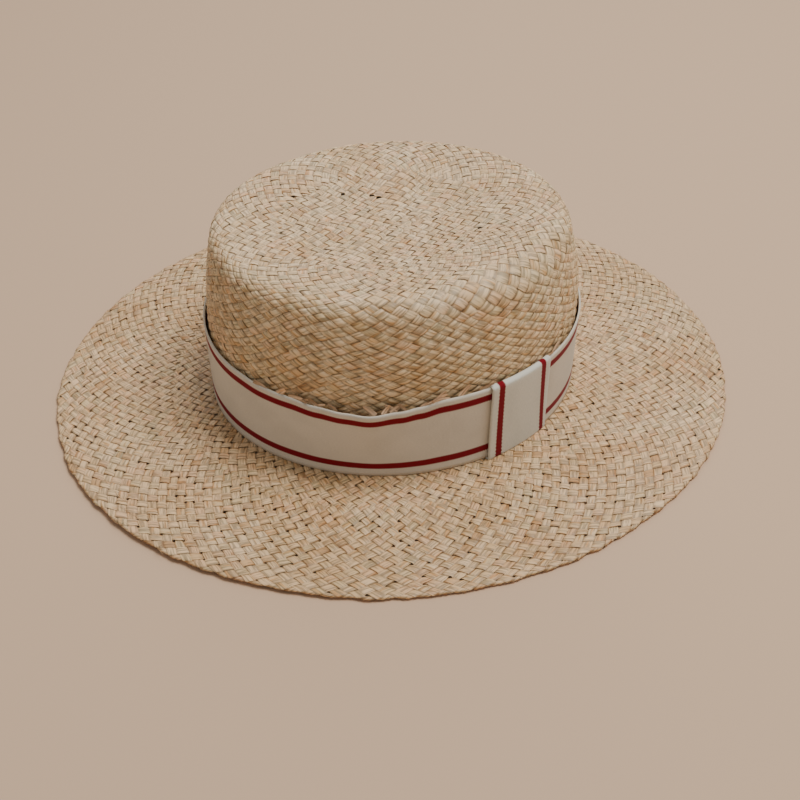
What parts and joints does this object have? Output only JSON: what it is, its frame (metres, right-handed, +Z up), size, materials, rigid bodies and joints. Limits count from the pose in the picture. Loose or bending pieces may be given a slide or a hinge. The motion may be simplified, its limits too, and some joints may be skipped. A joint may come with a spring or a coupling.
{
  "type": "straw boater hat",
  "caption": "Woven straw boater hat with a flat-topped, shallow-dished oval crown, a wide flat brim and a striped ribbon band with a flat upright keeper.",
  "frame": {"origin": "centre of the hat at the plane that the brim rests on", "axes": "+Z up through the crown, -Y towards the wearer's front, +X towards the wearer's left; the long axis of the oval lies along Y"},
  "size_m": [0.3341, 0.3593, 0.0976],
  "materials": {
    "straw": "matte natural straw",
    "ribbon": "matte ribbed ribbon, off-white with dark red stripes",
    "keeper_ribbon": "matte ribbed ribbon, off-white with dark red stripes"
  },
  "bodies": {
    "root": {"straw_body": "straw", "ribbon_band": "ribbon", "ribbon_keeper": "keeper_ribbon"}
  },
  "joints": []
}
